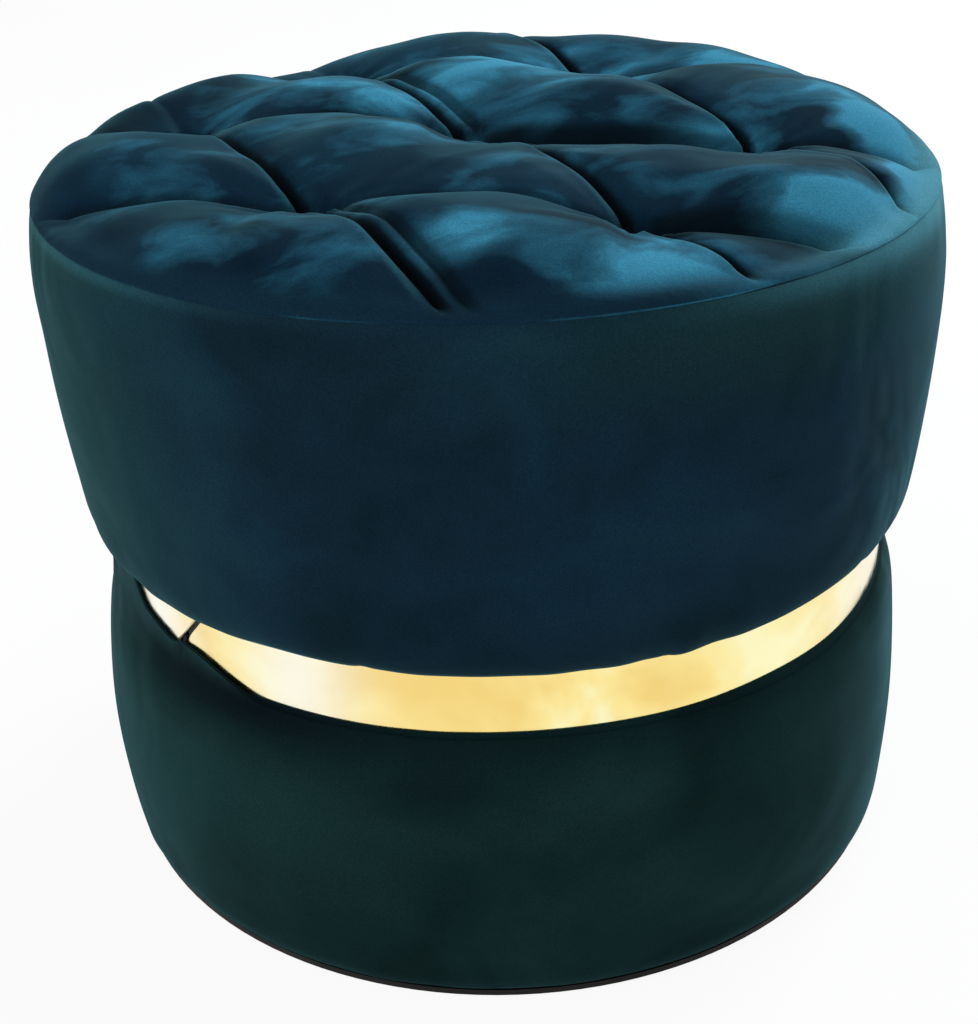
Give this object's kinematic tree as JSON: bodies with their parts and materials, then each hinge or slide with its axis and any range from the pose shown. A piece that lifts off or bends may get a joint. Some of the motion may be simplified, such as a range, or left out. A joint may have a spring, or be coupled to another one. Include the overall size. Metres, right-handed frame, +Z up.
{
  "type": "tufted pouffe stool",
  "caption": "Round upholstered pouffe stool: two padded velvet drums joined at a narrow waist with a gold metal band, and a crowned seat with deep diamond tufts.",
  "frame": {"origin": "on the floor, at the middle of the stool", "axes": "+Z up along the axis of both drums, front towards -Y, +X to the right seen from the front"},
  "size_m": [0.421, 0.421, 0.3552],
  "materials": {
    "velvet": "deep teal cut-pile velvet with a blue sheen",
    "gold_metal": "thin stainless strip with a polished pale gold coating",
    "black_board": "fibreboard painted matt black",
    "black_felt": "self-adhesive felt",
    "plywood": "raw plywood",
    "hardboard": "raw bent hardboard",
    "softwood": "sawn pine",
    "foam": "upholstery foam",
    "zinc_steel": "zinc-plated",
    "tape": "black double-sided foam mounting tape",
    "twine": "waxed upholstery twine",
    "toggle_plastic": "moulded black"
  },
  "bodies": {
    "root": {"floor_pads": "black_felt", "base_plate": "black_board", "base_plate_screws": "zinc_steel", "base_board": "plywood", "base_board_screws": "zinc_steel", "lower_wall": "hardboard", "lid_board": "plywood", "lid_board_screws": "zinc_steel", "lower_foam": "foam", "lower_cover": "velvet", "lower_hem_staples": "zinc_steel", "lower_waist_staples": "zinc_steel", "waist_bolts": "zinc_steel", "waist_washers": "zinc_steel", "waist_nuts": "zinc_steel", "floor_board": "plywood", "floor_board_screws": "zinc_steel", "upper_wall": "hardboard", "seat_board": "plywood", "seat_board_screws": "zinc_steel", "upper_foam": "foam", "upper_cover": "velvet", "upper_waist_staples": "zinc_steel", "band_tape": "tape", "waist_band": "gold_metal", "seat_foam": "foam", "seat_cover": "velvet", "tuft_buttons": "velvet", "tuft_twines": "twine", "twine_toggles": "toggle_plastic", "lower_post_1": "softwood", "lower_post_2": "softwood", "lower_post_3": "softwood", "lower_post_4": "softwood", "lower_post_5": "softwood", "lower_post_6": "softwood", "upper_post_1": "softwood", "upper_post_2": "softwood", "upper_post_3": "softwood", "upper_post_4": "softwood", "upper_post_5": "softwood", "upper_post_6": "softwood"}
  },
  "joints": []
}
